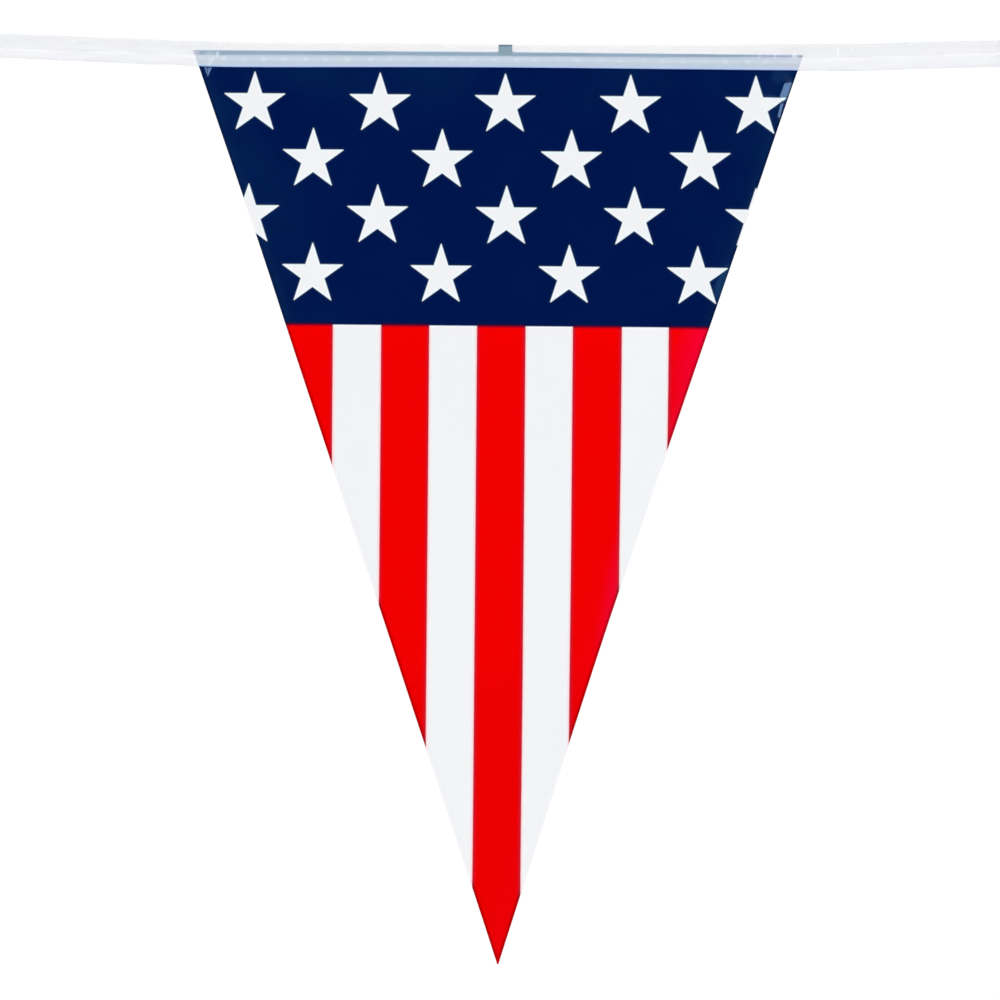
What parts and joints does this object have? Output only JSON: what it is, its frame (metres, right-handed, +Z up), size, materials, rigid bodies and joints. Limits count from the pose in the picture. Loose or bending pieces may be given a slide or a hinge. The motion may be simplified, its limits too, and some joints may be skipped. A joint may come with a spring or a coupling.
{
  "type": "pennant bunting",
  "caption": "Long triangular film pennant, stars above stripes, hanging point down from a folded translucent tape that runs on past both of its top corners.",
  "frame": {"origin": "on the tape's folded top edge, above the middle of the pennant, midway between the tape's two sides", "axes": "+X along the tape to the right as seen from the front, +Y to the back, +Z up; the pennant's tip points down"},
  "size_m": [0.36, 0.0072, 0.3066],
  "materials": {
    "printed_film": "gloss, printed: navy field with white stars above red and white stripes",
    "tape_film": "gloss, milky and see-through"
  },
  "bodies": {
    "root": {"pennant": "printed_film", "tape": "tape_film"}
  },
  "joints": []
}
